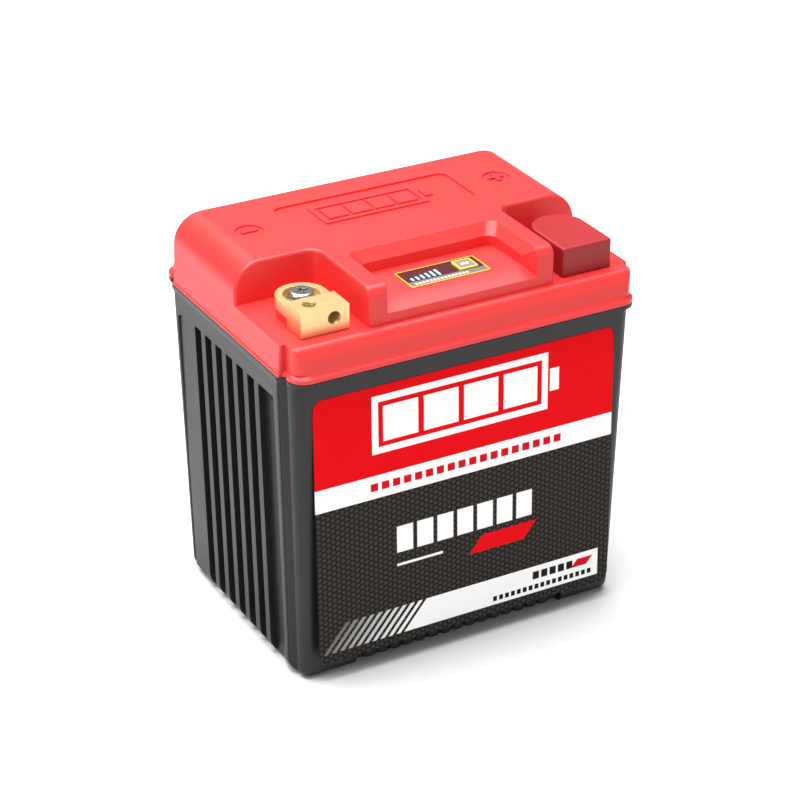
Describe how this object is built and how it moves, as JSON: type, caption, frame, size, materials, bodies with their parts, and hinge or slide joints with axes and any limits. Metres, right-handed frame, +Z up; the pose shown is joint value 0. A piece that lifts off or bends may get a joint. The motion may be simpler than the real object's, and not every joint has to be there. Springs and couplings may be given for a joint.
{
  "type": "motorcycle battery",
  "caption": "Twelve-volt lithium motorcycle battery with ribbed case, stepped lid, block terminals, pull-off positive cover and push-button charge indicator.",
  "frame": {"origin": "centre of the rectangle that the battery covers, on the surface its four corner feet stand on", "axes": "+Z up, the labelled front faces -Y, the negative terminal is at -X and the positive terminal at +X"},
  "size_m": [0.166, 0.126, 0.175],
  "materials": {
    "case": "moulded black ABS, fine satin grain",
    "lid": "moulded red ABS, satin",
    "label": "printed polyester film",
    "terminal": "cast and brushed",
    "fastener": "zinc plated",
    "lug": "tin plated",
    "cover": "soft moulded vinyl",
    "panel": "printed membrane film",
    "button": "smooth",
    "circuit_board": "solder mask",
    "component": "moulded epoxy",
    "heat_spreader": "extruded",
    "lamp": "clear resin",
    "cell": "can with heat-shrunk sleeve",
    "holder": "moulded",
    "bus_plate": "nickel strip",
    "foam": "closed-cell foam",
    "insulation": "pressed insulating paper",
    "positive_wire": "silicone jacket",
    "negative_wire": "silicone jacket"
  },
  "bodies": {
    "battery": {"case": "case", "lid": "lid", "front_label": "label", "negative_terminal": "terminal", "positive_terminal": "terminal", "negative_terminal_screw": "fastener", "positive_terminal_screw": "fastener", "negative_lug_nut": "fastener", "positive_lug_nut": "fastener", "negative_lead_lug": "lug", "positive_lead_lug": "lug", "indicator_panel": "panel", "indicator_board": "circuit_board", "management_board": "circuit_board", "switch_body": "component", "balance_connector": "component", "heat_spreader": "heat_spreader", "indicator_lamp_1": "lamp", "indicator_lamp_2": "lamp", "indicator_lamp_3": "lamp", "indicator_lamp_4": "lamp", "indicator_lamp_5": "lamp", "indicator_lamp_6": "lamp", "cell_1_1": "cell", "cell_1_2": "cell", "cell_1_3": "cell", "cell_2_1": "cell", "cell_2_2": "cell", "cell_2_3": "cell", "cell_3_1": "cell", "cell_3_2": "cell", "cell_3_3": "cell", "cell_4_1": "cell", "cell_4_2": "cell", "cell_4_3": "cell", "upper_cell_holder": "holder", "lower_cell_holder": "holder", "lower_bus_plate_1": "bus_plate", "lower_bus_plate_2": "bus_plate", "upper_bus_plate_3": "bus_plate", "upper_bus_plate_4": "bus_plate", "upper_bus_plate_5": "bus_plate", "lower_foam_pad": "foam", "upper_foam_block": "foam", "insulation_sheet": "insulation", "positive_lead": "positive_wire", "negative_lead": "negative_wire", "negative_link": "negative_wire", "balance_harness": "negative_wire", "indicator_harness": "negative_wire"},
    "positive_cover": {"positive_terminal_cover": "cover"},
    "indicator_button": {"test_button": "button"}
  },
  "joints": [
    {"name": "cover_pull_off", "type": "slide", "parent": "battery", "child": "positive_cover", "axis": [0, 0, 1], "range_m": [0, 0.025]},
    {"name": "test_button_press", "type": "slide", "parent": "battery", "child": "indicator_button", "axis": [0, 0, -1], "range_m": [0, 0.0005], "stiffness_N_per_m": 500}
  ]
}
